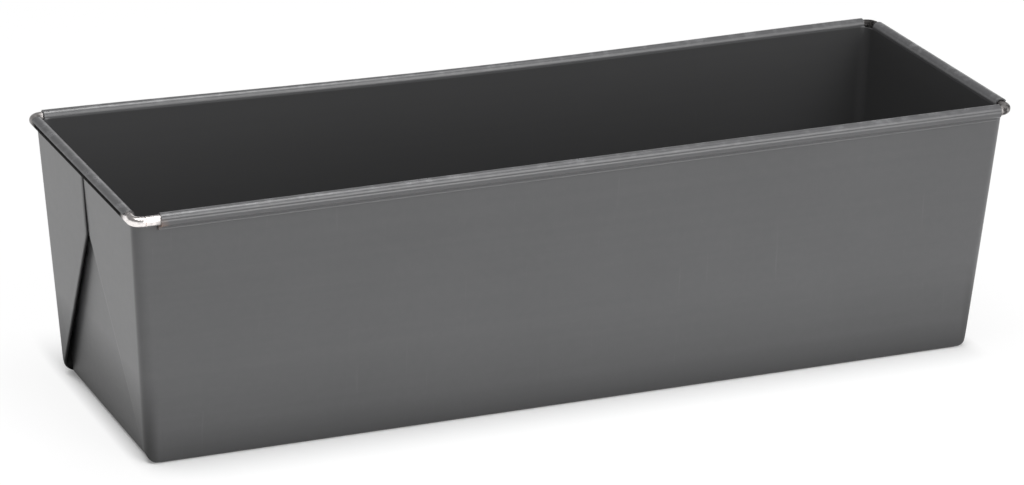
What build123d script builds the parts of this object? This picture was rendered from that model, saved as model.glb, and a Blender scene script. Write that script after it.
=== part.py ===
from build123d import *
import math
import os

# A loaf tin folded from one blank of coated sheet steel, open at the top, with a steel wire
# rolled into its rim. Lengths are in millimetres. The origin is in the middle of the
# floor's underside, with X along the tin, Y across it and Z up.

# Overall sizes, all measured on the outside
rim_length = 300.0
rim_width = 110.0
height = 85.5
floor_length = 279.0
floor_width = 84.5

# Sheet and its bends, given as inside radii
sheet = 0.5
floor_bend = 1.2
corner_bend = 3.2

# Rim wire and the sheet rolled round it
wire_diameter = 3.2
wire_bend = 3.2
wire_joint_gap = 0.4
wire_clearance = 0.05
side_hem_height = 5.9
side_hem_setback = 5.5
joint_hem_setback = 10.2
end_hem_setback = 8.0
corner_edge_gap = 0.3

# Corner flaps folded flat against the end walls
flap_foot_gap = 1.8
flap_top_gap = 0.4
flap_root = 3.0
fold_radius = 0.45
seam_gap = 0.5

# How far cutting shapes run past what they cut
overrun = 6.0

# Places worked out from the sizes above
bore_radius = wire_diameter / 2 + wire_clearance
rim_radius = bore_radius + sheet
wire_height = height - rim_radius
wire_half_length = rim_length / 2 - rim_radius
wire_half_width = rim_width / 2 - rim_radius
corner_edge_height = wire_height - wire_diameter / 2 - corner_edge_gap
flap_thickness = 2 * sheet


def wall_lean(foot, wire_reach):
    """Angle from upright of a wall whose outside starts at foot, at floor level, and ends
    tangent to the wire's bore in the rim roll."""
    across = wire_reach - foot
    return math.acos(bore_radius / math.hypot(across, wire_height)) - math.atan2(wire_height, across)


side_lean = wall_lean(floor_width / 2, wire_half_width)
end_lean = wall_lean(floor_length / 2, wire_half_length)


def side_face(z):
    """Distance from the middle to the outside of a side wall at height z."""
    return floor_width / 2 + z * math.tan(side_lean)


def end_face(z):
    """Distance from the middle to the outside of an end wall at height z."""
    return floor_length / 2 + z * math.tan(end_lean)


def flap_gap(z):
    """Gap between an end wall and the flaps on it, which widens down to the floor."""
    return flap_foot_gap + (flap_top_gap - flap_foot_gap) * z / corner_edge_height


def flap_inner_face(z):
    """Distance from the middle to the side of a flap that lies towards the end wall."""
    return end_face(z) + flap_gap(z)


def flap_outer_face(z):
    """Distance from the middle to the side of a flap that shows."""
    return flap_inner_face(z) + flap_thickness


def crease_slope():
    """Height gained by a flap's diagonal crease for each unit across the end wall.

    The corner of the blank between a side wall and an end wall folds along the line that
    halves its angle, so that both of its halves lie flat on the end wall."""
    end_edge = math.atan(math.tan(side_lean) * math.cos(end_lean))
    side_edge = math.atan(math.tan(end_lean) * math.cos(side_lean))
    crease_to_edge = (math.pi / 2 - end_edge - side_edge) / 2
    return math.cos(end_lean) / math.tan(crease_to_edge - end_edge)


crease_meeting_height = crease_slope() * floor_width / 2


def tapered_block(end_at, side_at, low, high, radius):
    """Block with straight leaning sides and rounded upright corners."""
    sections = [
        Plane.XY.offset(z) * RectangleRounded(2 * end_at(z), 2 * side_at(z), radius)
        for z in (low, high)
    ]
    return loft(sections, ruled=True)


def outer_block():
    """The tin's outside as if the flaps covered each end wall from side to side."""
    block = tapered_block(flap_outer_face, side_face, 0, corner_edge_height, corner_bend + sheet)
    return fillet(block.edges().group_by(Axis.Z)[0], floor_bend + sheet)


def cavity():
    """The space inside the tin."""
    end_wall = sheet / math.cos(end_lean)
    side_wall = sheet / math.cos(side_lean)
    block = tapered_block(
        lambda z: end_face(z) - end_wall,
        lambda z: side_face(z) - side_wall,
        sheet,
        corner_edge_height + overrun,
        corner_bend,
    )
    return fillet(block.edges().group_by(Axis.Z)[0], floor_bend)


def sharp_block(end_at, side_at):
    """Block with straight leaning sides and sharp corners, taller than the tin."""
    top = corner_edge_height + overrun
    sections = [
        Plane.XY.offset(z) * Rectangle(2 * end_at(z), 2 * side_at(z))
        for z in (0, top)
    ]
    return loft(sections, ruled=True)


def between_end_walls():
    """Everything between the outer faces of the end walls, made wider than the tin."""
    block = sharp_block(end_face, lambda z: side_face(z) + overrun)
    feet = block.edges().group_by(Axis.Z)[0].filter_by(Axis.Y)
    return fillet(feet, floor_bend + sheet)


def behind_flaps():
    """Narrow spaces between the end walls and their flaps, closed at the flaps' roots."""
    return sharp_block(flap_inner_face, lambda z: side_face(z) - flap_root) - between_end_walls()


def end_prism(outline):
    """Outline of Y and Z places drawn across the right end, pushed along X through the end."""
    start = floor_length / 2 - overrun
    reach = rim_length / 2 + overrun - start
    return extrude(Plane.YZ.offset(start) * make_face(Polyline(*outline, close=True)), reach)


def exposed_end():
    """Space outside the triangle of end wall that shows between the two creases."""
    spread = floor_width / 2 + overrun
    foot = -crease_slope() * overrun
    triangle = end_prism([(-spread, foot), (spread, foot), (0, crease_meeting_height)])
    return triangle - between_end_walls()


def seam():
    """Upright gap between the two flaps, above the place where their creases meet."""
    foot = crease_meeting_height - 2 * flap_thickness
    top = crease_meeting_height + height
    outline = [
        (-seam_gap / 2, foot),
        (seam_gap / 2, foot),
        (seam_gap / 2, top),
        (-seam_gap / 2, top),
    ]
    return end_prism(outline) - between_end_walls()


def crease_fold():
    """Rounded fold along one crease, where the two layers of a flap join."""
    below_floor = crease_slope() * sheet
    foot = Vector(flap_inner_face(-below_floor) + sheet, floor_width / 2 + sheet, -below_floor)
    head = Vector(flap_inner_face(crease_meeting_height) + sheet, 0, crease_meeting_height)
    rod = extrude(Plane(origin=foot, z_dir=head - foot) * Circle(fold_radius), (head - foot).length)
    return split(rod, bisect_by=Plane.XZ, keep=Keep.BOTTOM)


def both_ends(piece):
    return piece + mirror(piece, about=Plane.YZ)


def both_sides(piece):
    return piece + mirror(piece, about=Plane.XZ)


def folded_shell():
    """Floor, walls, rounded corners and flaps, up to the sheet's edge under the wire."""
    openings = behind_flaps() + both_ends(exposed_end() + seam())
    folds = both_ends(both_sides(crease_fold()) - seam()) & outer_block()
    return outer_block() - openings + folds - cavity()


def roll_outline(reach, lean):
    """Section of the sheet rolled round the wire, with the top of the wall that it grows from."""
    along = Vector(math.sin(lean), math.cos(lean))
    outward = Vector(math.cos(lean), -math.sin(lean))
    centre = Vector(reach, wire_height)
    corners = []
    for depth in (rim_radius, bore_radius):
        tangent = centre - outward * depth
        drop = (tangent.Y - corner_edge_height) / math.cos(lean)
        corners += [tangent, tangent - along * drop]
    wall = make_face(Polyline(corners[0], corners[1], corners[3], corners[2], close=True))
    return wall + Pos(reach, wire_height) * Circle(rim_radius)


def side_hem_section():
    """Rolled edge of the far side wall, whose lip is pressed flat under the roll."""
    outline = roll_outline(wire_half_width, side_lean)
    lip_foot = height - side_hem_height
    lip_head = wire_height - math.sqrt(2 * bore_radius * sheet)
    lip_width = sheet / math.cos(side_lean)
    lip = make_face(Polyline(
        (side_face(lip_foot), lip_foot),
        (side_face(lip_foot) + lip_width, lip_foot),
        (side_face(lip_head) + lip_width, lip_head),
        (side_face(lip_head), lip_head),
        close=True,
    ))
    return outline + lip - Pos(wire_half_width, wire_height) * Circle(bore_radius)


def side_hem(start, end):
    """Rolled edge of the far side wall from start to end."""
    return extrude(Plane.YZ.offset(start) * side_hem_section(), end - start)


def end_hem():
    """Rolled edge of the right end wall, with the tops of the flaps shut inside it."""
    outline = roll_outline(wire_half_length, end_lean)
    flap_top = make_face(Polyline(
        (flap_inner_face(corner_edge_height), corner_edge_height),
        (flap_outer_face(corner_edge_height), corner_edge_height),
        (flap_outer_face(wire_height), wire_height),
        (flap_inner_face(wire_height), wire_height),
        close=True,
    ))
    section = outline + flap_top - Pos(wire_half_length, wire_height) * Circle(bore_radius)
    return extrude(Plane.XZ * section, rim_width / 2 - end_hem_setback, both=True)


def pan_sheet():
    """The whole folded blank."""
    hem_end = rim_length / 2 - side_hem_setback
    joint_end = rim_length / 2 - joint_hem_setback
    far_hem = side_hem(-hem_end, hem_end)
    near_hem = mirror(side_hem(-joint_end, hem_end), about=Plane.XZ)
    return folded_shell() + far_hem + near_hem + both_ends(end_hem())


def rim_wire():
    """Wire bent round the rim, whose ends meet beside the near left corner."""
    x, y, r = wire_half_length, wire_half_width, wire_bend
    joint = r - x + wire_joint_gap
    line = Plane.XY.offset(wire_height) * (
        Line((joint, -y), (x - r, -y))
        + RadiusArc((x - r, -y), (x, r - y), -r)
        + Line((x, r - y), (x, y - r))
        + RadiusArc((x, y - r), (x - r, y), -r)
        + Line((x - r, y), (r - x, y))
        + RadiusArc((r - x, y), (-x, y - r), -r)
        + Line((-x, y - r), (-x, r - y))
        + RadiusArc((-x, r - y), (r - x, -y), -r)
    )
    start = Plane(origin=line @ 0, z_dir=line % 0)
    return sweep(start * Circle(wire_diameter / 2), path=line)


parts = {
    "pan_sheet": pan_sheet(),
    "rim_wire": rim_wire(),
}

os.makedirs("parts", exist_ok=True)
for name, part in parts.items():
    export_step(part, f"parts/{name}.step")
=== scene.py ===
import math

import bmesh
import bpy
import numpy as np
from mathutils import Matrix, Vector


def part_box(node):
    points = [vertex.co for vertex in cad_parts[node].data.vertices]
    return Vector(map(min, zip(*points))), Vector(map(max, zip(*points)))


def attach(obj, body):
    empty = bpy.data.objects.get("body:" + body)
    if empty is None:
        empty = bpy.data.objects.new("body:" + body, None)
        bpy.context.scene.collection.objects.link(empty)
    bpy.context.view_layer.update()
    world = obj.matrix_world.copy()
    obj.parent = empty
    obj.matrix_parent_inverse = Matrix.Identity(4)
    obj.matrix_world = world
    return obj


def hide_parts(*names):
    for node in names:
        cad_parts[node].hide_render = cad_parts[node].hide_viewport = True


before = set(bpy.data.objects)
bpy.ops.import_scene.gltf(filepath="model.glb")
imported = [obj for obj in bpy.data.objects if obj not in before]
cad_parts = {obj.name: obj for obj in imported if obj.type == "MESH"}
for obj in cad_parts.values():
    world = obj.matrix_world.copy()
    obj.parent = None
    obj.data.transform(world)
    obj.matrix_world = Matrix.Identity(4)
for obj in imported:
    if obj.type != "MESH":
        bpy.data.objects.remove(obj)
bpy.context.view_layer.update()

# The folded sheet. One blank of thin steel, coated dark grey on both sides, makes the floor and
# the four leaning walls. Its upper edges are rolled outwards round a wire, and the roll is cut
# away at the corners so that the wire can bend there.
mm = 0.001
sheet_low, sheet_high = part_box("pan_sheet")
rim_length = sheet_high.x - sheet_low.x
rim_width = sheet_high.y - sheet_low.y
height = sheet_high.z
floor_length = 279.0 * mm
floor_width = 84.5 * mm
sheet = 0.5 * mm
floor_bend = 1.7 * mm
corner_bend = 3.7 * mm
wire_low, wire_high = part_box("rim_wire")
wire_radius = (wire_high.z - wire_low.z) / 2
wire_height = (wire_high.z + wire_low.z) / 2
wire_half_length = wire_high.x - wire_radius
wire_half_width = wire_high.y - wire_radius
roll_radius = height - wire_height
roll_middle = roll_radius - sheet / 2
bore_radius = roll_radius - sheet
edge_height = wire_height - 0.45 * mm
side_hem_setback = 5.5 * mm
joint_hem_setback = 10.2 * mm
end_hem_setback = 8.0 * mm
lip_foot = height - 5.9 * mm
lip_gap = 0.25 * mm
lip_bend = 1.2 * mm
lip_stand = 0.15 * mm
curl_edge = math.radians(34)
groove_depth = 0.18 * mm
groove_turn = math.radians(15)
groove_width = math.radians(10)
floor_crown = 0.25 * mm
far_spring = 4.8 * mm
near_right_draw = 3.1 * mm
far_right_draw = 3.8 * mm
left_draw = 0.7 * mm
# How much the inside is darkened as painted shade, and dulled
inside_shade_and_dulling = 0.7

# How finely the sheet is divided and joined
long_hem_steps = 110
end_hem_steps = 44
corner_hem_steps = 4
corner_open_steps = 8
floor_rows = 14
base_points = 9
wall_steps = 30
rise_points = 3
roll_points = 65
reverse_bend_points = 7
lip_points = 5
merge_reach = 0.002 * mm
sharp_angle = math.radians(38)


def wall_lean(foot, wire_reach):
    """Angle from upright of a wall that rises from foot and touches the roll's bore.

    The angle whose cosine is the bore's radius over the distance from foot to wire, less the
    angle at which that distance rises."""
    across = wire_reach - foot
    to_wire = math.hypot(across, wire_height)
    return math.acos(bore_radius / to_wire) - math.atan2(wire_height, across)


side_lean = wall_lean(floor_width / 2, wire_half_width)
end_lean = wall_lean(floor_length / 2, wire_half_length)


def side_face(z):
    """Distance from the middle to the outside of a long wall: its foot's, plus z by its slope."""
    return floor_width / 2 + z * math.tan(side_lean)


def end_face(z):
    """Distance from the middle to the outside of an end wall: its foot's, plus z by its slope."""
    return floor_length / 2 + z * math.tan(end_lean)


def stations(*stretches):
    """Rising values through stretches of (start, end, steps), each end shared with the next."""
    return np.unique(np.concatenate([np.linspace(a, b, n + 1) for a, b, n in stretches]).round(9))


def ring_columns():
    """Columns round the tin, from the near left, as shares of a rounded rectangle.

    A place on the rectangle is a share of its straight half sides, plus its corner's radius
    along an outward direction: (share_x, share_y, outward_x, outward_y)."""
    flat_x = end_face(edge_height) - corner_bend
    flat_y = side_face(edge_height) - corner_bend
    joint_share = (rim_length / 2 - joint_hem_setback) / flat_x
    along = stations(
        (-1, -joint_share, 2), (-joint_share, joint_share, long_hem_steps), (joint_share, 1, 2))
    end_share = (rim_width / 2 - end_hem_setback) / flat_y
    across = stations(
        (-1, -end_share, 1), (-end_share, end_share, end_hem_steps), (end_share, 1, 1))
    hem_turn = math.asin((rim_length / 2 - side_hem_setback - flat_x) / corner_bend)
    turn = stations((0, hem_turn, corner_hem_steps), (hem_turn, math.pi / 2, corner_open_steps))
    turn = turn[1:-1]
    one, none = np.ones_like(along), np.zeros_like(along)
    wide, flat = np.ones_like(across), np.zeros_like(across)
    fan = np.ones_like(turn)
    near = (along, -one, none, -one)
    right_corner = (fan, -fan, np.sin(turn), -np.cos(turn))
    right = (wide, across, wide, flat)
    far_corner = (fan, fan, np.cos(turn), np.sin(turn))
    half = [np.concatenate(parts) for parts in zip(near, right_corner, right, far_corner)]
    back = [-column for column in half]
    return np.stack([np.concatenate(pair) for pair in zip(half, back)])


def base_bend(lean, face, depth):
    """Reach and height of the bend from floor to wall, from the floor up, this deep in the sheet.

    A quarter turn, less the wall's lean, about a point one bend in from both outer faces."""
    centre = face(floor_bend) - floor_bend / math.cos(lean)
    radius = floor_bend - depth
    turn = np.linspace(-math.pi / 2, -lean, base_points)
    return centre + radius * np.cos(turn), floor_bend + radius * np.sin(turn)


def hook(lean, wire_reach, with_lip):
    """Middle line of the rolled edge in (reach, height), with its normal towards the wire.

    Up the wall and round the wire. On a long wall it goes by most of a turn, with a groove
    along it from the rolling, and back down by a short reverse bend into a lip that stands off
    a little at its foot. On an end it stops past the top, so that the wire shows under it."""
    start = (edge_height - wire_height) / math.cos(lean)
    rise = np.linspace(start, 0, rise_points + 2)[1:-1]
    line = [np.stack([np.full_like(rise, -roll_middle), rise])]
    if with_lip:
        lip_place = sheet + lip_gap - roll_middle
        bend_x = lip_place + lip_bend
        bend_y = -math.sqrt((roll_middle + lip_bend) ** 2 - bend_x**2)
        leave = math.atan2(bend_y, bend_x)
        turn = np.linspace(math.pi, leave, roll_points)
        groove = groove_depth * np.exp(-(((turn - groove_turn) / groove_width) ** 2))
        line.append((roll_middle - groove) * np.stack([np.cos(turn), np.sin(turn)]))
        back = np.linspace(leave + math.pi, math.pi, reverse_bend_points + 1)[1:]
        line.append(np.stack([bend_x + lip_bend * np.cos(back), bend_y + lip_bend * np.sin(back)]))
        fall = np.linspace(bend_y, (lip_foot - wire_height) / math.cos(lean), lip_points + 1)[1:]
        stand = lip_stand * np.linspace(1 / lip_points, 1, lip_points) ** 2
        line.append(np.stack([lip_place + stand, fall]))
    else:
        turn = np.linspace(math.pi, curl_edge, roll_points + reverse_bend_points + lip_points)
        line.append(roll_middle * np.stack([np.cos(turn), np.sin(turn)]))
    line = np.concatenate(line, axis=1)
    travel = np.gradient(line, axis=1)
    travel /= np.hypot(*travel)
    normal = np.stack([travel[1], -travel[0]])
    turned = np.array([[math.cos(lean), math.sin(lean)], [-math.sin(lean), math.cos(lean)]])
    middle = np.array([[wire_reach], [wire_height]])
    return middle + turned @ line, turned @ normal


def on_ring(columns, end_at, side_at, radius, z):
    """Points on rounded rectangles: one row for each height, one column for each station.

    Each is its share of the straight half sides, plus the corner's radius along its outward
    direction."""
    share_x, share_y, out_x, out_y = columns
    sizes = (end_at, side_at, radius, z)
    end_at, side_at, radius, z = [np.broadcast_to(size, np.shape(z))[:, None] for size in sizes]
    x = share_x * (end_at - radius) + out_x * radius
    y = share_y * (side_at - radius) + out_y * radius
    return np.stack([x, y, z + 0 * x], axis=-1)


def skin_rows(columns, depth):
    """Rows of one skin, this deep in the sheet, from the floor's middle to the edge under the wire.

    The floor's rows are shares of its outline, on a low crown that falls off by half a cosine."""
    end_bend, z = base_bend(end_lean, end_face, depth)
    side_bend, _ = base_bend(side_lean, side_face, depth)
    bend_radius = corner_bend - (side_face(z) - side_bend)
    floor_share = np.linspace(0, 1, floor_rows + 1)[:-1]
    foot_end = end_bend[0] - side_bend[0] * (1 - floor_share)
    crown = floor_crown * (1 + np.cos(math.pi * floor_share)) / 2
    floor = on_ring(
        columns, foot_end, side_bend[0] * floor_share, bend_radius[0] * floor_share, z[0] + crown)
    base = on_ring(columns, end_bend, side_bend, bend_radius, z)
    up = stations((floor_bend + mm, edge_height, wall_steps))
    wall = on_ring(columns, end_face(up) - depth, side_face(up) - depth, corner_bend - depth, up)
    return np.concatenate([floor, base, wall])


def hook_rows(columns, outside, inside):
    """Rows of the rolled edges: along the wire's side of the roll, then back along its outside.

    Each is the hook's middle line moved half a sheet along its normal. Where a long wall rounds
    into a corner, the first rows ease from the corner's curve out to the straight hook."""
    share_x, share_y = columns[:2]
    over_side = np.abs(share_y) == 1
    side = np.sign(share_y)
    end = np.sign(share_x)
    rows = []
    for sign in (1, -1):
        side_line, side_normal = hook(side_lean, wire_half_width, True)
        end_line, end_normal = hook(end_lean, wire_half_length, False)
        side_line = side_line + sign * side_normal * sheet / 2
        end_line = end_line + sign * end_normal * sheet / 2
        top = outside if sign == 1 else inside
        straight = np.abs(top[:, 1]).max()
        settle = np.clip((wire_height - side_line[1]) / (wire_height - edge_height), 0, 1)
        settle = np.where(np.arange(len(settle)) <= rise_points, settle, 0)
        short = (straight - np.abs(top[:, 1])) * settle[:, None]
        side_y = side * (side_line[0][:, None] - short)
        side_points = np.stack([
            top[:, 0] + 0 * side_y, side_y, side_line[1][:, None] + 0 * side_y], axis=-1)
        end_x = end * end_line[0][:, None]
        end_points = np.stack([
            end_x, top[:, 1] + 0 * end_x, end_line[1][:, None] + 0 * end_x], axis=-1)
        points = np.where(over_side[None, :, None], side_points, end_points)
        rows.append(points if sign == 1 else points[::-1])
    return np.concatenate(rows)


def hem_stretches(columns):
    """Which steps between neighbouring columns carry a rolled edge.

    Those whose middle lies on one wall, and nearer the tin's middle than that wall's setback."""
    share_x, share_y, out_x, _ = columns
    top_at = np.array([edge_height])
    top = on_ring(columns, end_face(top_at), side_face(top_at), corner_bend, top_at)[0]
    middle = (top + np.roll(top, -1, axis=0)) / 2
    on_side = (np.abs(share_y) == 1) & (np.roll(np.abs(share_y), -1) == 1)
    near_left = (middle[:, 0] < 0) & (middle[:, 1] < 0)
    setback = np.where(near_left, joint_hem_setback, side_hem_setback)
    on_end = (np.abs(share_x) == 1) & (np.abs(out_x) == 1)
    long_hem = on_side & (np.abs(middle[:, 0]) < rim_length / 2 - setback)
    end_hem = on_end & (np.abs(middle[:, 1]) < rim_width / 2 - end_hem_setback)
    return long_hem | end_hem


def sprung(points):
    """Points of the tin as its thin walls have sprung, which grows from nothing at the floor.

    The far wall bows in by the square of one less the square of the share along it, both long
    walls draw in evenly towards the right end, and the left end leans in a little."""
    x, y, z = points.T
    along, across, rise = 2 * x / rim_length, 2 * y / rim_width, np.clip(z / height, 0, 1)
    rightward = (1 + along) / 2
    near_in = near_right_draw * rightward
    far_in = far_spring * (1 - along**2) ** 2 + far_right_draw * rightward
    move_y = rise * (near_in * (1 - across) - far_in * (1 + across)) / 2
    move_x = rise * left_draw * (1 - along) / 2
    return points + np.stack([move_x, move_y, 0 * z], axis=1)


def make_piece(name, points, faces, material, shade_and_dulling=0):
    """Mesh object from points and faces, sprung, with its coincident points merged.

    Its attribute of painted shade and dulling says how much each point is darkened as painted shade
    and made dull: the inside and the folds."""
    used = np.unique(np.concatenate([np.asarray(f).ravel() for f in faces]))
    place = np.full(len(points), -1)
    place[used] = np.arange(len(used))
    mesh = bpy.data.meshes.new(name)
    flat_faces = []
    for group in faces:
        flat_faces += place[np.atleast_2d(group)].tolist()
    mesh.from_pydata(sprung(points[used]).tolist(), [], flat_faces)
    # This attribute carries painted shade, the darkening of the inside and of the flaps' folds,
    # with dulling.
    shade = mesh.attributes.new("shade_and_dulling", "FLOAT", "POINT")
    each_shade_and_dulling = np.broadcast_to(shade_and_dulling, len(points))[used]
    shade.data.foreach_set("value", each_shade_and_dulling.astype(np.float32))
    merged = bmesh.new()
    merged.from_mesh(mesh)
    bmesh.ops.remove_doubles(merged, verts=merged.verts, dist=merge_reach)
    merged.to_mesh(mesh)
    merged.free()
    mesh.validate()
    mesh.polygons.foreach_set("use_smooth", np.ones(len(mesh.polygons), bool))
    mesh.set_sharp_from_angle(angle=sharp_angle)
    piece = bpy.data.objects.new(name, mesh)
    bpy.context.scene.collection.objects.link(piece)
    mesh.materials.append(material)
    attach(piece, "root")
    return piece


def strip(first_row, second_row):
    """Quads between two rows of point numbers, from each column to the next one round."""
    return np.stack(
        [first_row, np.roll(first_row, -1), np.roll(second_row, -1), second_row], axis=-1)


def walls_and_hems():
    """Points, faces and painted shade with dulling of the closed skin of the sheet: floor, walls
    and rolled edges.

    The rows run up the outside, round each hem and down the inside. Where there is no hem, one
    row of faces joins the outside to the inside, and each hem's two ends are capped."""
    columns = ring_columns()
    outside = skin_rows(columns, 0)
    inside = skin_rows(columns, sheet)[::-1]
    rolled = hook_rows(columns, outside[-1], inside[0])
    grid = np.concatenate([outside, rolled, inside])
    rows, count = grid.shape[:2]
    number = np.arange(rows * count).reshape(rows, count)
    hem = hem_stretches(columns)
    top, drop = len(outside) - 1, len(outside) + len(rolled)
    faces = []
    for row in range(rows - 1):
        keep = hem if top <= row < drop else np.ones_like(hem)
        faces.append(strip(number[row], number[row + 1])[keep])
    faces.append(strip(number[top], number[drop])[~hem])
    starts = np.flatnonzero(hem & ~np.roll(hem, 1))
    ends = np.flatnonzero(~hem & np.roll(hem, 1))
    bore = np.arange(top, top + len(rolled) // 2 + 1)
    outer = np.arange(drop, drop - len(rolled) // 2 - 1, -1)
    for ends_here, forward in ((starts, True), (ends, False)):
        for column in ends_here:
            a, b = number[bore, column], number[outer, column]
            cap = np.stack([a[:-1], a[1:], b[1:], b[:-1]], axis=-1)
            faces.append(cap if forward else cap[:, ::-1])
    shade_and_dulling = np.zeros(grid.shape[:2])
    # The inside is darkened as painted shade, and dulled.
    shade_and_dulling[drop:] = inside_shade_and_dulling
    return grid.reshape(-1, 3), faces, shade_and_dulling.ravel()


class Signal:
    """A value or place in a material. Sums, differences and products of them add Math nodes."""

    def __init__(self, tree, socket=None):
        self.tree = tree
        self.socket = socket

    def node(self, kind, settings, inputs, output=0):
        """Adds a node of this kind, sets its settings and then its inputs, and gives an output."""
        made = self.tree.nodes.new(kind)
        for name, value in settings.items():
            setattr(made, name, value)
        for name, value in inputs.items():
            if isinstance(value, Signal):
                self.tree.links.new(value.socket, made.inputs[name])
            else:
                made.inputs[name].default_value = value
        return Signal(self.tree, made.outputs[output])

    def noise(self, scale, detail):
        """Noise at the place that this signal gives, with about scale features to a metre."""
        return self.node("ShaderNodeTexNoise", {}, {
            "Vector": self, "Scale": scale, "Detail": detail})

    def ramp(self, low, high):
        """Nothing at low and one at high, straight between them and level beyond."""
        return self.node("ShaderNodeMapRange", {}, {
            "Value": self, "From Min": low, "From Max": high})

    def coordinate(self, axis):
        """One coordinate of the place that this signal gives."""
        return self.node("ShaderNodeSeparateXYZ", {}, {"Vector": self}, axis)

    def vector(self, operation, other=(0, 0, 0), output=0):
        """The place that this signal gives, with another, by a vector operation."""
        return self.node("ShaderNodeVectorMath", {"operation": operation}, {
            0: self, 1: other}, output)

    def sum_with(self, other, operation, swapped=False):
        """This value and another by an operation, with the other one first if swapped."""
        pair = (other, self) if swapped else (self, other)
        return self.node("ShaderNodeMath", {"operation": operation}, dict(enumerate(pair)))

    def __add__(self, other):
        return self.sum_with(other, "ADD")

    def __mul__(self, other):
        return self.sum_with(other, "MULTIPLY")

    def __sub__(self, other):
        return self.sum_with(other, "SUBTRACT")

    def __rsub__(self, other):
        return self.sum_with(other, "SUBTRACT", swapped=True)

    __radd__ = __add__
    __rmul__ = __mul__


def new_material(name):
    """Empty material with its output, and a signal to build on."""
    material = bpy.data.materials.new(name)
    material.use_nodes = True
    material.node_tree.nodes.clear()
    output = material.node_tree.nodes.new("ShaderNodeOutputMaterial")
    return material, Signal(material.node_tree), output.inputs["Surface"]


# The coating's finish
base_tone = 0.062
base_roughness = 0.27
coating_ior = 1.5
coating_blue = 1.03
cloud_scale, cloud_tone, cloud_roughness = 18.0, 0.012, 0.06
mottle_scale, mottle_tone, mottle_roughness = 420.0, 0.008, 0.05
line_stretch, line_tone, line_bump = (8, 8, 500), 0.008, 0.002
scuff_turn, scuff_stretch, scuff_tone = (0.3, 0.5, 0.9), (900, 40, 40), 0.012
scuff_from, scuff_full = 0.66, 0.8
peel_scale, peel_bump = 1500.0, 0.0025
sway_scale, sway_bump = 9.0, 0.25
rub_scale, rub_tone, rub_gloss = 260.0, 0.05, 0.06
rub_from, rub_full = 0.5, 0.66
rub_low, rub_high = height - 1.6 * mm, height - 0.2 * mm
scorch_place = (joint_hem_setback - rim_length / 2, mm - rim_width / 2, wire_height - 2 * mm)
scorch_near, scorch_far, scorch_fringe = 1.5 * mm, 4.5 * mm, 2 * mm
scorch_scale, scorch_share, scorch_colour = 500.0, 0.85, (0.2, 0.13, 0.1, 1)
# How much painted shade on the inside and in the folds darkens the coating, and how much it dulls
# it
painted_shade_darkening, dulled_roughness = 0.9, 0.6
# Painted shade, darker towards the floor: a little all round, most on the ends, and more at the
# very foot
low_shade_top, low_shade_full, low_shade_all_round, low_shade_on_ends = 30 * mm, 11 * mm, 0.2, 0.45
foot_shade_top, foot_shade_full, foot_shade = 11 * mm, 1 * mm, 0.3
low_shade_roughness = 0.25


def coated_steel():
    """Dark grey baked non-stick coating: satin, finely dimpled and faintly mottled, with dull
    lines along the walls, small rubs on the rim, painted shade near the floor and most on the
    ends, painted shade with dulling inside and in the folds, and a brown edge where the heat of
    the bare corner reached it."""
    material, start, surface = new_material("coated_steel")
    place = start.node("ShaderNodeTexCoord", {}, {}, "Object")
    x, z = place.coordinate(0), place.coordinate(2)
    clouds = place.noise(cloud_scale, 3.0)
    mottle = place.noise(mottle_scale, 2.0)
    peel = place.noise(peel_scale, 2.0)
    sway = place.noise(sway_scale, 1.0)
    drawn = start.node("ShaderNodeMapping", {}, {"Vector": place, "Scale": line_stretch})
    lines = drawn.noise(1.0, 3.0)
    crossed = start.node("ShaderNodeMapping", {}, {
        "Vector": place, "Rotation": scuff_turn, "Scale": scuff_stretch})
    scuffs = crossed.noise(1.0, 3.0).ramp(scuff_from, scuff_full)
    rubbed = z.ramp(rub_low, rub_high) * place.noise(rub_scale, 4.0).ramp(rub_from, rub_full)
    reach = place.vector("DISTANCE", scorch_place, 1)
    fringe = scorch_fringe * place.noise(scorch_scale, 2.0)
    scorch = (reach + fringe).ramp(scorch_far, scorch_near)
    shade_and_dulling = start.node("ShaderNodeAttribute", {"attribute_name": "shade_and_dulling"}, {}, "Fac")
    on_end = (x * x).ramp((floor_length / 2 - 2 * mm) ** 2, (floor_length / 2 + mm) ** 2)
    # Painted shade near the floor, strongest on the ends and at the very foot.
    painted_low_shade = z.ramp(low_shade_top, low_shade_full) * (low_shade_all_round + low_shade_on_ends * on_end)
    painted_low_shade = painted_low_shade + foot_shade * z.ramp(foot_shade_top, foot_shade_full)
    marks = cloud_tone * clouds + mottle_tone * mottle + line_tone * lines
    marks = marks + scuff_tone * scuffs + rub_tone * rubbed
    # Painted shade near the floor, inside and in the folds darkens the tone.
    tone = (1 - painted_low_shade) * (1 - painted_shade_darkening * shade_and_dulling) * (base_tone + marks)
    plain = start.node("ShaderNodeCombineColor", {}, {
        "Red": tone, "Green": tone, "Blue": coating_blue * tone})
    colour = start.node("ShaderNodeMix", {"data_type": "RGBA"}, {
        0: scorch_share * scorch, 6: plain, 7: scorch_colour}, 2)
    roughness = base_roughness + cloud_roughness * clouds + mottle_roughness * mottle
    roughness = roughness - rub_gloss * rubbed + dulled_roughness * shade_and_dulling + low_shade_roughness * painted_low_shade
    bump = start.node("ShaderNodeBump", {}, {
        "Strength": 1.0, "Distance": mm,
        "Height": peel_bump * peel + sway_bump * sway + line_bump * lines})
    shader = start.node("ShaderNodeBsdfPrincipled", {}, {
        "Base Color": colour, "Roughness": roughness, "IOR": coating_ior, "Normal": bump})
    material.node_tree.links.new(shader.socket, surface)
    return material


coating = coated_steel()
points, faces, shade_and_dulling = walls_and_hems()
sheet_piece = make_piece("folded_sheet", points, faces, coating, shade_and_dulling)
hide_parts("pan_sheet")

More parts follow.
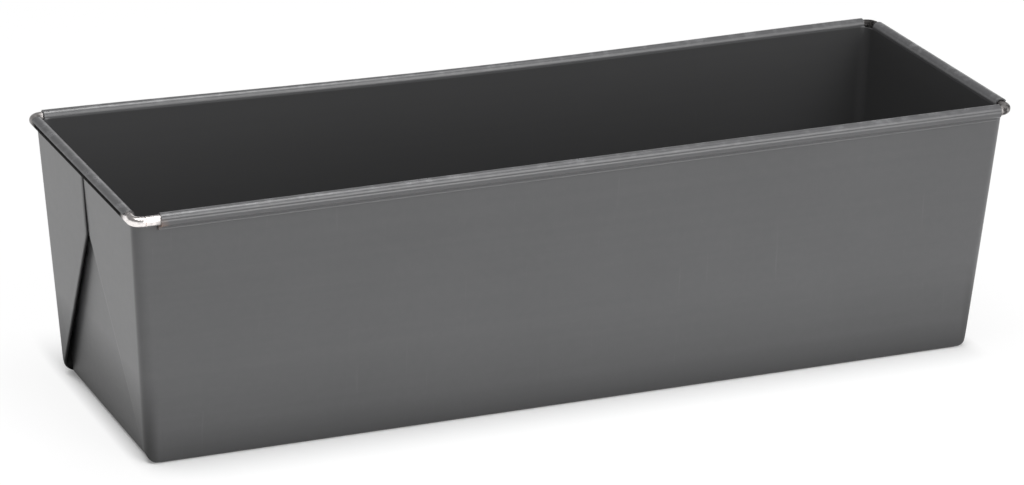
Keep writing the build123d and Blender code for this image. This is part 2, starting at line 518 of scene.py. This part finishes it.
# The corner flaps. The blank's corners are folded double along a diagonal crease and laid
# against the outside of the end walls, where the end rolls hold their tops. The near ones lie
# close. The far ones stand off more and more towards the floor, but close at the very foot.
flap_thickness = 2 * sheet
flap_root = 3.0 * mm
flap_top = 81.65 * mm
flap_tuck = 6 * mm
flap_rest = 0.3 * mm
flap_lap = 1.0 * mm
fold_reach = 0.61 * mm
cut_edge_reach = 0.12 * mm
seam_half = 0.45 * mm
seam_ease = 2 * mm
settle_in = 0.02 * mm
least_radius = 0.1 * mm
past_turn = 1 * mm
fold_shade = 1.2
tight_foot_gap, tight_top_gap = 0.5 * mm, 0.4 * mm
loose_foot_gap, loose_top_gap = 2.1 * mm, 0.5 * mm

# How finely a flap is divided
low_rows_top = 8 * mm
foot_steps, low_steps, high_steps = 6, 10, 44
lap_steps, turn_points, width_steps = 4, 14, 24
fold_steps, back_points, step_steps, home_points = 10, 12, 3, 14


def crease_rise():
    """Height gained by the crease for each unit across the end wall.

    It halves the blank's corner, so that both halves of the flap lie flat on the end wall."""
    end_edge = math.atan(math.tan(side_lean) * math.cos(end_lean))
    side_edge = math.atan(math.tan(end_lean) * math.cos(side_lean))
    crease_to_edge = (math.pi / 2 - end_edge - side_edge) / 2
    return math.cos(end_lean) / math.tan(crease_to_edge - end_edge)


def along_flap(s, depth, z, gap):
    """Place on the flap, s along it from where the corner starts to bend and depth below its face.

    Negative s is along the long wall, then comes a quarter turn, then the end wall's width."""
    end_at = end_face(z) + gap + flap_thickness
    side_at = side_face(z)
    turn = np.clip(s / corner_bend, 0, math.pi / 2)
    past = s - turn * corner_bend
    radius = np.maximum(corner_bend - depth, least_radius)
    x = end_at - corner_bend + radius * np.sin(turn) + np.where(past < 0, past, 0)
    y = side_at - corner_bend + radius * np.cos(turn) - np.where(past > 0, past, 0)
    return np.stack([x, y, z + 0 * x], axis=-1)


def flap(foot_gap, top_gap):
    """Closed skin of the flap on the right end's far side: rings round its section, row on row.

    Its gap to the end wall narrows evenly from foot_gap at the floor to top_gap at its top, but
    closes at the very foot. Its back is joined to the middle of the wall's own thickness, from
    the flap's root round the corner. Gives its points and how much each is darkened as painted
    shade and dulled, in the fold and on the back."""
    rows = stations(
        (0, floor_bend, foot_steps), (floor_bend, low_rows_top, low_steps),
        (low_rows_top, flap_top, high_steps))[:, None]
    gap = foot_gap + (top_gap - foot_gap) * rows / flap_top
    tuck = np.clip(1 - rows / flap_tuck, 0, 1)
    gap = gap - (gap - flap_rest) * tuck**2
    meeting = crease_rise() * floor_width / 2
    crease_y = floor_width / 2 - rows / crease_rise()
    tip_y = np.maximum(crease_y - fold_reach, seam_half)
    above = np.clip((rows - meeting + seam_ease) / seam_ease, 0, 1)
    reach = fold_reach + (cut_edge_reach - fold_reach) * above
    flat_start = side_face(rows) - corner_bend
    edge_y = tip_y + reach
    turn_length = corner_bend * math.pi / 2
    bent = corner_bend * np.arccos(np.clip((edge_y - flat_start) / corner_bend, 0, 1))
    length = np.where(edge_y < flat_start, turn_length + flat_start - edge_y, bent)
    sunk = floor_bend - np.sqrt(floor_bend**2 - np.clip(floor_bend - rows, 0, floor_bend) ** 2)
    lead = gap + flap_thickness + flap_lap
    turn_s = np.minimum(np.linspace(0, turn_length + past_turn, turn_points)[None, :], length)
    turn_end = turn_s[:, -1:]
    out_s = np.concatenate([
        -lead * np.linspace(1, 0, lap_steps + 1)[None, :-1],
        turn_s,
        turn_end + (length - turn_end) * np.linspace(0, 1, width_steps + 1)[None, 1:],
    ], axis=1)
    out_depth = settle_in * np.clip(-(out_s + lead - flap_lap) / flap_lap, 0, 1)
    fold = np.linspace(math.pi / 2, -math.pi / 2, fold_steps + 1)[None, 1:-1]
    tip_s = length + reach * np.cos(fold)
    tip_depth = flap_thickness / 2 * (1 - np.sin(fold)) + 0 * tip_s
    tip_shade_and_dulling = np.clip(fold_shade * (1 - np.sin(fold)), 0, 1)
    root_s = np.minimum(turn_length + flap_root - corner_bend, length)
    back_s = length + (root_s - length) * np.linspace(0, 1, back_points)[None, :]
    back_depth = np.full_like(back_s, flap_thickness)
    s = np.concatenate([out_s, tip_s, back_s], axis=1)
    depth = np.concatenate([out_depth, tip_depth, back_depth], axis=1) + sunk
    skin = along_flap(s, np.minimum(depth, corner_bend - least_radius), rows, gap)
    home_s = root_s + (-flap_lap - root_s) * np.linspace(0, 1, home_points)[None, :]
    home = along_flap(home_s, sheet / 2 + sunk, rows, -flap_thickness)
    down = np.linspace(0, 1, step_steps + 1)[None, 1:-1, None]
    step = skin[:, -1:] + (home[:, :1] - skin[:, -1:]) * down
    ring = np.concatenate([skin, step, home], axis=1)
    # The fold's inner rounding and the back in the gap get painted shade, with dulling.
    shade_and_dulling = np.ones(ring.shape[:2])
    shade_and_dulling[:, :out_s.shape[1]] = 0
    shade_and_dulling[:, out_s.shape[1]:out_s.shape[1] + tip_shade_and_dulling.shape[1]] = tip_shade_and_dulling
    return ring, shade_and_dulling.ravel()


def tube_faces(grid):
    """Quads between the rings of a closed tube, and a face over each end of it."""
    rows, count = grid.shape[:2]
    number = np.arange(rows * count).reshape(rows, count)
    sides = [strip(number[row], number[row + 1]) for row in range(rows - 1)]
    return sides + [number[0][::-1], number[-1]]


tight_flap = flap(tight_foot_gap, tight_top_gap)
loose_flap = flap(loose_foot_gap, loose_top_gap)
for across, end in ((1, "right"), (-1, "left")):
    for back, side, (one_flap, shade_and_dulling) in ((1, "far", loose_flap), (-1, "near", tight_flap)):
        rings = one_flap * np.array([across, back, 1])
        points = rings.reshape(-1, 3)
        faces = tube_faces(rings)
        if across * back > 0:
            faces = [np.atleast_2d(f)[:, ::-1] for f in faces]
        make_piece(f"flap_{end}_{side}", points, faces, coating, shade_and_dulling)

# The rim wire. One drawn steel wire, bent round the rim with its cut ends butted beside the near
# left corner. It shows bare where the rolls stop.
wire_bend = 3.2 * mm
wire_joint_gap = 0.4 * mm
wire_chamfer = 0.15 * mm
wire_cut_share = 0.86
wire_turn_points = 11
wire_run_points = 60
wire_sides = 24


def wire_line():
    """Middle line of the wire and its outward direction, from one cut end round to the other.

    Four straight runs, each followed by a quarter turn round its corner's centre."""
    flat_x, flat_y = wire_half_length - wire_bend, wire_half_width - wire_bend
    start = wire_joint_gap - flat_x
    turn = np.linspace(0, math.pi / 2, wire_turn_points)
    corners = ((flat_x, -flat_y), (flat_x, flat_y), (-flat_x, flat_y), (-flat_x, -flat_y))
    run = np.linspace(0, 1, wire_run_points + 1)[None, :-1]
    before = np.array([[start], [-wire_half_width]])
    lines, outs = [], []
    for quarter, (x, y) in enumerate(corners):
        angle = math.radians(90 * (quarter - 1)) + turn
        out = np.stack([np.cos(angle), np.sin(angle)])
        place = np.array([[x], [y]]) + wire_bend * out
        lines += [before + (place[:, :1] - before) * run, place]
        outs += [np.repeat(out[:, :1], wire_run_points, axis=1), out]
        before = place[:, -1:]
    return np.concatenate(lines, axis=1).T, np.concatenate(outs, axis=1).T


def wire_tube():
    """Circles carried along the wire's line, with a small chamfer and a cap at each cut end."""
    line, out = wire_line()
    around = np.linspace(0, 2 * math.pi, wire_sides, endpoint=False)
    ring = wire_radius * (
        np.cos(around)[None, :, None] * np.concatenate([out, 0 * out[:, :1]], axis=1)[:, None, :]
        + np.sin(around)[None, :, None] * np.array([0, 0, 1])
    )
    centre = np.concatenate([line, np.full((len(line), 1), wire_height)], axis=1)[:, None, :]
    grid = centre + ring
    chamfer = np.array([wire_chamfer, 0, 0])
    first = centre[0] + ring[0] * wire_cut_share - chamfer
    last = centre[-1] + ring[-1] * wire_cut_share + chamfer
    return np.concatenate([first[None], grid, last[None]])


# The bare wire's finish
# Brightening towards the near side and the left end and at their corner: partly wear, partly
# painted highlight
wire_tone, wire_green, wire_blue = 0.1, 0.95, 0.93
left_wear_and_highlight, near_wear_and_highlight, corner_wear_and_highlight = 0.14, 0.16, 0.54
blotch_scale, blotch_tone = 300.0, 0.1
spot_scale, spot_from, spot_full = 620.0, 0.5, 0.6
spot_darkness, spot_roughness, spot_fade = 0.8, 0.1, 0.8
# Painted shade of the wire under the rolls, and its roughness there
painted_shade_under_rolls, hidden_roughness = 0.02, 0.95
open_gloss, corner_gloss = 0.45, 0.26
open_ends_from, open_ends_full = rim_length / 2 - 14 * mm, rim_length / 2 - 9 * mm
open_sides_from, open_sides_full = rim_width / 2 - 11 * mm, rim_width / 2 - 7 * mm


def bare_wire():
    """Drawn steel with no coating: dull and grey with oxide, brighter towards the near side and the
    left end and bright at the corner where they meet, partly from wear and partly as a painted
    highlight, and pitted with dark spots. Under the rolls, away from the corners, it is painted
    dark as shade."""
    material, start, surface = new_material("bare_wire")
    place = start.node("ShaderNodeTexCoord", {}, {}, "Object")
    x, y = place.coordinate(0), place.coordinate(1)
    leftward = x.ramp(wire_half_length, -wire_half_length)
    nearward = y.ramp(wire_half_width, -wire_half_width)
    open_x = (x * x).ramp(open_ends_from**2, open_ends_full**2)
    open_y = (y * y).ramp(open_sides_from**2, open_sides_full**2)
    exposed = open_x * open_y
    spots = place.noise(spot_scale, 3.0).ramp(spot_from, spot_full) * (1 - spot_fade * leftward)
    # Brighter towards the near side and the left end, brightest at their corner: partly wear,
    # partly a painted highlight.
    worn_and_highlit = wire_tone + left_wear_and_highlight * leftward + near_wear_and_highlight * nearward
    worn_and_highlit = worn_and_highlit + corner_wear_and_highlight * leftward * nearward + blotch_tone * place.noise(blotch_scale, 3.0)
    # Away from the corners, under the rolls, the wire is painted dark as shade.
    tone = (painted_shade_under_rolls + (worn_and_highlit - painted_shade_under_rolls) * exposed) * (1 - spot_darkness * spots)
    colour = start.node("ShaderNodeCombineColor", {}, {
        "Red": tone, "Green": wire_green * tone, "Blue": wire_blue * tone})
    gloss = exposed * (open_gloss + corner_gloss * leftward * nearward)
    shader = start.node("ShaderNodeBsdfPrincipled", {}, {
        "Base Color": colour, "Metallic": 1.0,
        "Roughness": hidden_roughness - gloss + spot_roughness * spots})
    material.node_tree.links.new(shader.socket, surface)
    return material


wire_grid = wire_tube()
wire_points, wire_faces = wire_grid.reshape(-1, 3), tube_faces(wire_grid)
wire_piece = make_piece("bare_rim_wire", wire_points, wire_faces, bare_wire())
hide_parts("rim_wire")

# The studio. A white table that runs out of sight before a white backdrop, in a dim room, under
# one soft box overhead and one above the front.
table_half = 4.0
table_white = (0.9, 0.9, 0.9, 1)
full_white = (1, 1, 1, 1)
shadow_reach = 40 * mm
shadow_squeeze = (7, 1, 0)
shown_near, shown_farther = 0.2, 0.68
ambient = 0.2
backdrop_top = 0.2
backdrop_fade = 0.1


def seen_directly(start):
    """One for camera, mirror and see-through rays, and nothing for the light's own bounces."""
    path = {name: start.node("ShaderNodeLightPath", {}, {}, name) for name in (
        "Is Camera Ray", "Is Glossy Ray", "Is Transmission Ray")}
    total = path["Is Camera Ray"] + path["Is Glossy Ray"] + path["Is Transmission Ray"]
    return start.node("ShaderNodeClamp", {}, {"Value": total})


def white_table():
    """Matt white that shows pure white, yet keeps the tin's shadow close to its foot.

    The share shown as pure white grows evenly with the distance from the tin's floor, which
    counts for more beyond the tin's ends."""
    material, start, surface = new_material("white_table")
    matt = start.node("ShaderNodeBsdfDiffuse", {}, {"Color": table_white})
    glow = start.node("ShaderNodeEmission", {}, {"Color": full_white, "Strength": 1.0})
    place = start.node("ShaderNodeTexCoord", {}, {}, "Object")
    beyond = place.vector("ABSOLUTE").vector("SUBTRACT", (floor_length / 2, floor_width / 2, 0))
    away = beyond.vector("MAXIMUM").vector("MULTIPLY", shadow_squeeze).vector("LENGTH", output=1)
    share = (shown_near + shown_farther * away.ramp(0.0, shadow_reach)) * seen_directly(start)
    mixed = start.node("ShaderNodeMixShader", {}, {0: share, 1: matt, 2: glow})
    material.node_tree.links.new(mixed.socket, surface)
    return material


table_mesh = bpy.data.meshes.new("table")
table_corners = [
    (across * table_half, back * table_half, 0)
    for across, back in ((-1, -1), (1, -1), (1, 1), (-1, 1))
]
table_mesh.from_pydata(table_corners, [], [(0, 1, 2, 3)])
table_mesh.materials.append(white_table())
table = bpy.data.objects.new("table", table_mesh)
bpy.context.scene.collection.objects.link(table)

world = bpy.data.worlds.new("studio")
bpy.context.scene.world = world
world.use_nodes = True
world.node_tree.nodes.clear()
sky = Signal(world.node_tree)
direction = sky.node("ShaderNodeTexCoord", {}, {}, "Generated")
backdrop = direction.coordinate(2).ramp(backdrop_top + backdrop_fade, backdrop_top)
background = sky.node("ShaderNodeBackground", {}, {
    "Color": full_white, "Strength": ambient + (1 - ambient) * (seen_directly(sky) * backdrop)})
world_output = world.node_tree.nodes.new("ShaderNodeOutputWorld")
world.node_tree.links.new(background.socket, world_output.inputs["Surface"])


def soft_lamp(name, turn, aside, distance, lean, width, depth, power):
    """Soft box facing the tin, brought forward from overhead by its lean and round by its turn."""
    light = bpy.data.lights.new(name, "AREA")
    light.shape = "RECTANGLE"
    light.size = width
    light.size_y = depth
    light.energy = power
    lamp = bpy.data.objects.new(name, light)
    place = Vector((aside, -distance * math.sin(lean), distance * math.cos(lean)))
    lamp.location = Matrix.Rotation(turn, 3, "Z") @ place
    lamp.rotation_euler = (lean, 0, turn)
    bpy.context.scene.collection.objects.link(lamp)


soft_lamp(
    "overhead", turn=0.0, aside=-0.08, distance=1.3, lean=math.radians(3),
    width=0.95, depth=0.6, power=18.0)
soft_lamp(
    "front", turn=math.radians(20), aside=0.0, distance=1.4, lean=math.radians(62),
    width=0.8, depth=1.1, power=14.0)

# The camera, placed by the photograph: a long lens from the near left and a little above.
image_width = 1024
film_width = 36
view_azimuth = math.radians(-22.43)
view_elevation = math.radians(20.05)
view_roll = math.radians(0.54)
view_distance = 1.5
focal_pixels = 4614
aim_right = -3.02 * mm
aim_up = 37.66 * mm

back = Vector((
    math.sin(view_azimuth) * math.cos(view_elevation),
    -math.cos(view_azimuth) * math.cos(view_elevation),
    math.sin(view_elevation),
))
level = Vector((math.cos(view_azimuth), math.sin(view_azimuth), 0))
upright = back.cross(level)
right = math.cos(view_roll) * level + math.sin(view_roll) * upright
up = math.cos(view_roll) * upright - math.sin(view_roll) * level
camera_data = bpy.data.cameras.new("camera")
camera_data.sensor_width = film_width
camera_data.lens = focal_pixels / image_width * film_width
camera_data.clip_start = 0.1
camera_data.clip_end = 30
camera = bpy.data.objects.new("camera", camera_data)
camera_place = back * view_distance + right * aim_right + up * aim_up
camera_turn = Matrix((right, up, back)).transposed().to_4x4()
camera.matrix_world = Matrix.Translation(camera_place) @ camera_turn
bpy.context.scene.collection.objects.link(camera)
bpy.context.scene.camera = camera

bpy.context.scene.view_settings.view_transform = "Standard"
